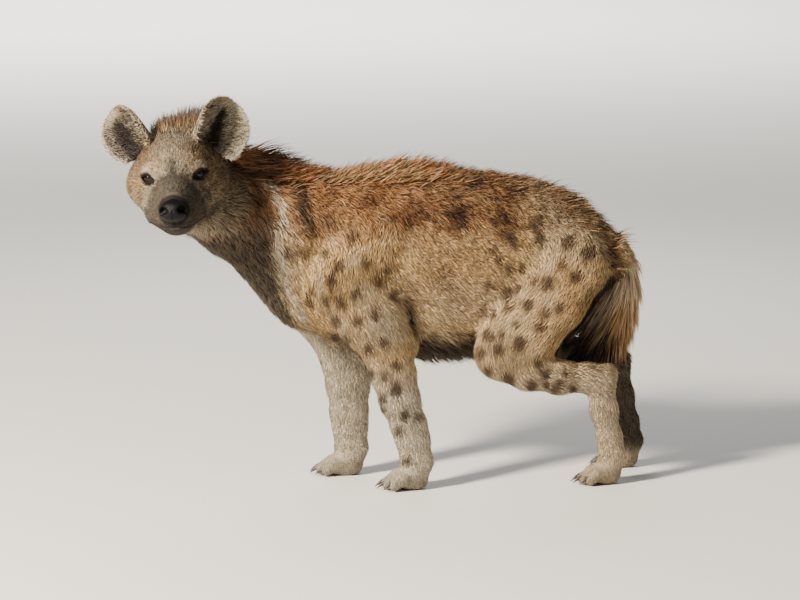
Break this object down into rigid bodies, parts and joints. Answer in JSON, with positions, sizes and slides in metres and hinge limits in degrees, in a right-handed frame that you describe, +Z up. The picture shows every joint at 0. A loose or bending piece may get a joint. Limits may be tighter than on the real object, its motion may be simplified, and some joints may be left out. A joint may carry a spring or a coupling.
{
  "type": "spotted hyena",
  "caption": "Life-size spotted hyena standing with its head turned to its left: round ears, dark muzzle, sloping back, short standing mane and a brushy tail.",
  "frame": {"origin": "on the floor, under the middle of the whole animal's box", "axes": "+Z up, the animal faces -X and its left side is towards -Y"},
  "size_m": [1.1972, 0.4446, 0.8526],
  "materials": {
    "coat": "short coarse fur, tan to buff with brown spots",
    "tail_hair": "long coarse hair, brown turning to black",
    "nose": "bare dark skin, finely pebbled and slightly wet",
    "eye": "polished, very dark brown",
    "claw": "dull dark horn"
  },
  "bodies": {
    "root": {"head": "coat", "ear_left": "coat", "ear_right": "coat", "eye_left": "eye", "eye_right": "eye", "nose": "nose", "neck": "coat", "torso": "coat", "tail": "tail_hair", "foreleg_left_upper": "coat", "foreleg_left_lower": "coat", "forepaw_left": "coat", "claw_forepaw_left_1": "claw", "claw_forepaw_left_2": "claw", "claw_forepaw_left_3": "claw", "claw_forepaw_left_4": "claw", "foreleg_right_upper": "coat", "foreleg_right_lower": "coat", "forepaw_right": "coat", "claw_forepaw_right_1": "claw", "claw_forepaw_right_2": "claw", "claw_forepaw_right_3": "claw", "claw_forepaw_right_4": "claw", "thigh_left": "coat", "shank_left": "coat", "metatarsus_left": "coat", "hindpaw_left": "coat", "claw_hindpaw_left_1": "claw", "claw_hindpaw_left_2": "claw", "claw_hindpaw_left_3": "claw", "claw_hindpaw_left_4": "claw", "thigh_right": "coat", "shank_right": "coat", "metatarsus_right": "coat", "hindpaw_right": "coat", "claw_hindpaw_right_1": "claw", "claw_hindpaw_right_2": "claw", "claw_hindpaw_right_3": "claw", "claw_hindpaw_right_4": "claw"}
  },
  "joints": []
}
